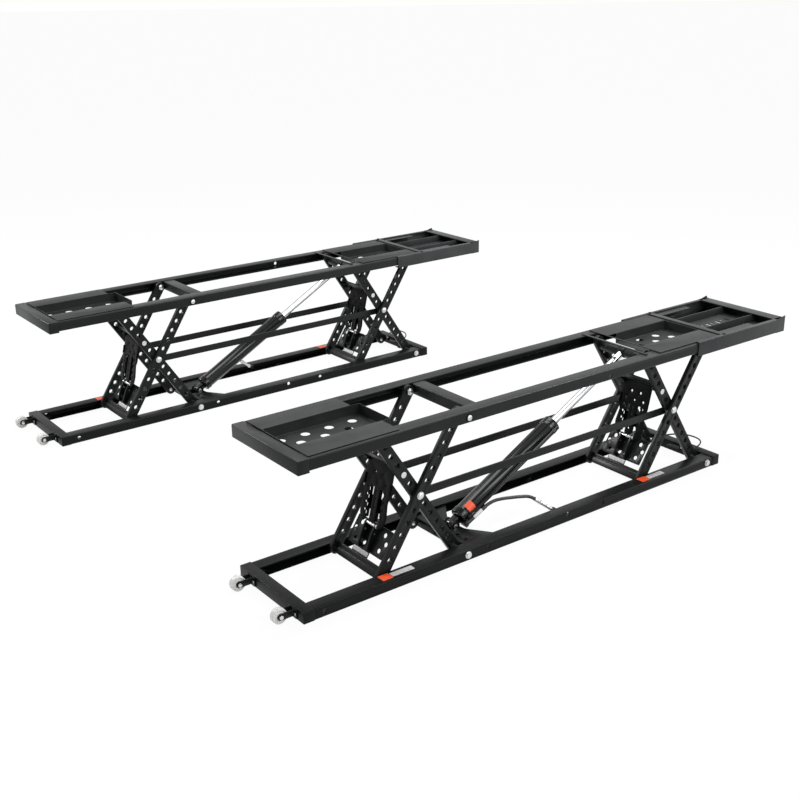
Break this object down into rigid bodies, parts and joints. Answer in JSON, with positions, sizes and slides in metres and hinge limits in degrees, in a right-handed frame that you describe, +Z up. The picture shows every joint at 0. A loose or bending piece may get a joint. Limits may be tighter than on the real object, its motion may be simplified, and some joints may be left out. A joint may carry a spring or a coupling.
{
  "type": "portable scissor car lift",
  "caption": "Low portable vehicle lift, a pair: perforated scissor arms raise a long platform with sunk pans over a wheeled base by a hydraulic cylinder, with safety locks and a pull-out ramp.",
  "frame": {"origin": "middle of the underside of the pair, on the floor", "axes": "X along the lifts from the wheel end to the ramp end, Y across the pair, Z up"},
  "size_m": [2.3752, 2.1912, 0.542],
  "materials": {
    "black_paint": "satin black powder coat",
    "deck_paint": "satin charcoal powder coat",
    "gloss_black": "gloss black",
    "chrome": "polished chrome",
    "zinc": "zinc plated",
    "white_nylon": "white nylon",
    "hose_rubber": "black rubber"
  },
  "bodies": {
    "base_frames": {"lift1_base_frame": "black_paint", "lift1_outer_caster_fork": "black_paint", "lift1_inner_caster_fork": "black_paint", "lift1_wheel_end_outer_base_pin": "zinc", "lift1_wheel_end_inner_base_pin": "zinc", "lift1_ramp_end_outer_base_pin": "zinc", "lift1_ramp_end_inner_base_pin": "zinc", "lift1_hydraulic_hose": "hose_rubber", "lift1_lock_release_cable": "hose_rubber", "lift2_base_frame": "black_paint", "lift2_outer_caster_fork": "black_paint", "lift2_inner_caster_fork": "black_paint", "lift2_wheel_end_outer_base_pin": "zinc", "lift2_wheel_end_inner_base_pin": "zinc", "lift2_ramp_end_outer_base_pin": "zinc", "lift2_ramp_end_inner_base_pin": "zinc", "lift2_hydraulic_hose": "hose_rubber", "lift2_lock_release_cable": "hose_rubber"},
    "lift1_wheel_end_base_arms": {"lift1_wheel_end_base_arms": "black_paint"},
    "lift1_wheel_end_deck_arms": {"lift1_wheel_end_deck_arms": "black_paint"},
    "lift1_wheel_end_lock": {"lift1_wheel_end_lock": "black_paint"},
    "lift1_ramp_end_base_arms": {"lift1_ramp_end_base_arms": "black_paint"},
    "lift1_ramp_end_deck_arms": {"lift1_ramp_end_deck_arms": "black_paint"},
    "lift1_ramp_end_lock": {"lift1_ramp_end_lock": "black_paint"},
    "lift1_platform": {"lift1_platform_frame": "black_paint", "lift1_wheel_end_deck": "deck_paint", "lift1_ramp_end_deck": "deck_paint", "lift1_ramp_end_pan": "deck_paint", "lift1_wheel_end_outer_deck_pin": "zinc", "lift1_wheel_end_inner_deck_pin": "zinc", "lift1_ramp_end_outer_deck_pin": "zinc", "lift1_ramp_end_inner_deck_pin": "zinc"},
    "lift1_level_bars": {"lift1_outer_level_bar": "black_paint", "lift1_inner_level_bar": "black_paint"},
    "lift1_ramp": {"lift1_ramp": "deck_paint"},
    "lift1_cylinder_barrel": {"lift1_cylinder_barrel": "gloss_black"},
    "lift1_cylinder_rod": {"lift1_cylinder_rod": "chrome"},
    "lift1_outer_caster_wheel": {"lift1_outer_caster_wheel": "white_nylon"},
    "lift1_inner_caster_wheel": {"lift1_inner_caster_wheel": "white_nylon"},
    "lift2_wheel_end_base_arms": {"lift2_wheel_end_base_arms": "black_paint"},
    "lift2_wheel_end_deck_arms": {"lift2_wheel_end_deck_arms": "black_paint"},
    "lift2_wheel_end_lock": {"lift2_wheel_end_lock": "black_paint"},
    "lift2_ramp_end_base_arms": {"lift2_ramp_end_base_arms": "black_paint"},
    "lift2_ramp_end_deck_arms": {"lift2_ramp_end_deck_arms": "black_paint"},
    "lift2_ramp_end_lock": {"lift2_ramp_end_lock": "black_paint"},
    "lift2_platform": {"lift2_platform_frame": "black_paint", "lift2_wheel_end_deck": "deck_paint", "lift2_ramp_end_deck": "deck_paint", "lift2_ramp_end_pan": "deck_paint", "lift2_wheel_end_outer_deck_pin": "zinc", "lift2_wheel_end_inner_deck_pin": "zinc", "lift2_ramp_end_outer_deck_pin": "zinc", "lift2_ramp_end_inner_deck_pin": "zinc"},
    "lift2_level_bars": {"lift2_outer_level_bar": "black_paint", "lift2_inner_level_bar": "black_paint"},
    "lift2_ramp": {"lift2_ramp": "deck_paint"},
    "lift2_cylinder_barrel": {"lift2_cylinder_barrel": "gloss_black"},
    "lift2_cylinder_rod": {"lift2_cylinder_rod": "chrome"},
    "lift2_outer_caster_wheel": {"lift2_outer_caster_wheel": "white_nylon"},
    "lift2_inner_caster_wheel": {"lift2_inner_caster_wheel": "white_nylon"}
  },
  "joints": [
    {"name": "lift1_lift", "type": "hinge", "parent": "base_frames", "child": "lift1_wheel_end_base_arms", "pos_m": [-0.42835, -0.8993, 0.022], "axis": [0, 1, 0], "range_deg": [-50.4, 0]},
    {"name": "lift1_wheel_end_scissor", "type": "hinge", "parent": "lift1_wheel_end_base_arms", "child": "lift1_wheel_end_deck_arms", "pos_m": [-0.5861, -0.8993, 0.26492], "axis": [0, 1, 0], "range_deg": [0, 100.8]},
    {"name": "lift1_platform", "type": "hinge", "parent": "lift1_wheel_end_deck_arms", "child": "lift1_platform", "pos_m": [-0.42835, -0.8993, 0.50784], "axis": [0, 1, 0], "range_deg": [-50.4, 0]},
    {"name": "lift1_level_bars", "type": "hinge", "parent": "lift1_wheel_end_base_arms", "child": "lift1_level_bars", "pos_m": [-0.5861, -0.8993, 0.26492], "axis": [0, 1, 0], "range_deg": [0, 50.4]},
    {"name": "lift1_ramp_end_base_arms", "type": "hinge", "parent": "base_frames", "child": "lift1_ramp_end_base_arms", "pos_m": [0.78165, -0.8993, 0.022], "axis": [0, 1, 0], "range_deg": [-50.4, 0]},
    {"name": "lift1_ramp_end_scissor", "type": "hinge", "parent": "lift1_ramp_end_base_arms", "child": "lift1_ramp_end_deck_arms", "pos_m": [0.62389, -0.8993, 0.26492], "axis": [0, 1, 0], "range_deg": [0, 100.8]},
    {"name": "lift1_cylinder", "type": "hinge", "parent": "base_frames", "child": "lift1_cylinder_barrel", "pos_m": [-0.34535, -0.8993, 0.035], "axis": [0, 1, 0], "range_deg": [0, 23.89], "deforming": ["lift1_hydraulic_hose"]},
    {"name": "lift1_rod", "type": "slide", "parent": "lift1_cylinder_barrel", "child": "lift1_cylinder_rod", "axis": [0.8745, 0, 0.485], "range_m": [-0.36678, 0]},
    {"name": "lift1_wheel_end_lock", "type": "hinge", "parent": "lift1_wheel_end_base_arms", "child": "lift1_wheel_end_lock", "pos_m": [-0.63834, -0.8993, 0.34535], "axis": [0, 1, 0], "range_deg": [0, 126.9]},
    {"name": "lift1_ramp_end_lock", "type": "hinge", "parent": "lift1_ramp_end_base_arms", "child": "lift1_ramp_end_lock", "pos_m": [0.57166, -0.8993, 0.34535], "axis": [0, 1, 0], "range_deg": [0, 126.9]},
    {"name": "lift1_ramp", "type": "slide", "parent": "lift1_platform", "child": "lift1_ramp", "axis": [1, 0, 0], "range_m": [0, 0.15]},
    {"name": "lift1_outer_caster", "type": "hinge", "parent": "base_frames", "child": "lift1_outer_caster_wheel", "pos_m": [-1.12465, -1.0328, 0.0254], "axis": [0, 1, 0], "continuous": true},
    {"name": "lift1_inner_caster", "type": "hinge", "parent": "base_frames", "child": "lift1_inner_caster_wheel", "pos_m": [-1.12465, -0.7838, 0.0254], "axis": [0, 1, 0], "continuous": true},
    {"name": "lift2_lift", "type": "hinge", "parent": "base_frames", "child": "lift2_wheel_end_base_arms", "pos_m": [-0.46615, 0.8993, 0.022], "axis": [0, 1, 0], "range_deg": [-50.4, 0]},
    {"name": "lift2_wheel_end_scissor", "type": "hinge", "parent": "lift2_wheel_end_base_arms", "child": "lift2_wheel_end_deck_arms", "pos_m": [-0.62391, 0.8993, 0.26492], "axis": [0, 1, 0], "range_deg": [0, 100.8]},
    {"name": "lift2_platform", "type": "hinge", "parent": "lift2_wheel_end_deck_arms", "child": "lift2_platform", "pos_m": [-0.46615, 0.8993, 0.50784], "axis": [0, 1, 0], "range_deg": [-50.4, 0]},
    {"name": "lift2_level_bars", "type": "hinge", "parent": "lift2_wheel_end_base_arms", "child": "lift2_level_bars", "pos_m": [-0.62391, 0.8993, 0.26492], "axis": [0, 1, 0], "range_deg": [0, 50.4]},
    {"name": "lift2_ramp_end_base_arms", "type": "hinge", "parent": "base_frames", "child": "lift2_ramp_end_base_arms", "pos_m": [0.74385, 0.8993, 0.022], "axis": [0, 1, 0], "range_deg": [-50.4, 0]},
    {"name": "lift2_ramp_end_scissor", "type": "hinge", "parent": "lift2_ramp_end_base_arms", "child": "lift2_ramp_end_deck_arms", "pos_m": [0.5861, 0.8993, 0.26492], "axis": [0, 1, 0], "range_deg": [0, 100.8]},
    {"name": "lift2_cylinder", "type": "hinge", "parent": "base_frames", "child": "lift2_cylinder_barrel", "pos_m": [-0.38315, 0.8993, 0.035], "axis": [0, 1, 0], "range_deg": [0, 23.89], "deforming": ["lift2_hydraulic_hose"]},
    {"name": "lift2_rod", "type": "slide", "parent": "lift2_cylinder_barrel", "child": "lift2_cylinder_rod", "axis": [0.8745, 0, 0.485], "range_m": [-0.36678, 0]},
    {"name": "lift2_wheel_end_lock", "type": "hinge", "parent": "lift2_wheel_end_base_arms", "child": "lift2_wheel_end_lock", "pos_m": [-0.67614, 0.8993, 0.34535], "axis": [0, 1, 0], "range_deg": [0, 126.9]},
    {"name": "lift2_ramp_end_lock", "type": "hinge", "parent": "lift2_ramp_end_base_arms", "child": "lift2_ramp_end_lock", "pos_m": [0.53386, 0.8993, 0.34535], "axis": [0, 1, 0], "range_deg": [0, 126.9]},
    {"name": "lift2_ramp", "type": "slide", "parent": "lift2_platform", "child": "lift2_ramp", "axis": [1, 0, 0], "range_m": [0, 0.15]},
    {"name": "lift2_outer_caster", "type": "hinge", "parent": "base_frames", "child": "lift2_outer_caster_wheel", "pos_m": [-1.16245, 1.0328, 0.0254], "axis": [0, 1, 0], "continuous": true},
    {"name": "lift2_inner_caster", "type": "hinge", "parent": "base_frames", "child": "lift2_inner_caster_wheel", "pos_m": [-1.16245, 0.7838, 0.0254], "axis": [0, 1, 0], "continuous": true}
  ],
  "couplings": [
    {"joint": "lift1_wheel_end_scissor", "follows": "lift1_lift", "ratio": -2},
    {"joint": "lift1_platform", "follows": "lift1_lift", "ratio": 1},
    {"joint": "lift1_level_bars", "follows": "lift1_lift", "ratio": -1},
    {"joint": "lift1_ramp_end_base_arms", "follows": "lift1_lift", "ratio": 1},
    {"joint": "lift1_ramp_end_scissor", "follows": "lift1_lift", "ratio": -2},
    {"joint": "lift1_cylinder", "follows": "lift1_lift", "ratio": -0.47386},
    {"joint": "lift1_rod", "follows": "lift1_lift", "m_per_rad": 0.41685},
    {"joint": "lift1_wheel_end_lock", "follows": "lift1_lift", "ratio": -2.5159},
    {"joint": "lift1_ramp_end_lock", "follows": "lift1_lift", "ratio": -2.5159},
    {"joint": "lift2_wheel_end_scissor", "follows": "lift2_lift", "ratio": -2},
    {"joint": "lift2_platform", "follows": "lift2_lift", "ratio": 1},
    {"joint": "lift2_level_bars", "follows": "lift2_lift", "ratio": -1},
    {"joint": "lift2_ramp_end_base_arms", "follows": "lift2_lift", "ratio": 1},
    {"joint": "lift2_ramp_end_scissor", "follows": "lift2_lift", "ratio": -2},
    {"joint": "lift2_cylinder", "follows": "lift2_lift", "ratio": -0.47386},
    {"joint": "lift2_rod", "follows": "lift2_lift", "m_per_rad": 0.41685},
    {"joint": "lift2_wheel_end_lock", "follows": "lift2_lift", "ratio": -2.5159},
    {"joint": "lift2_ramp_end_lock", "follows": "lift2_lift", "ratio": -2.5159}
  ]
}
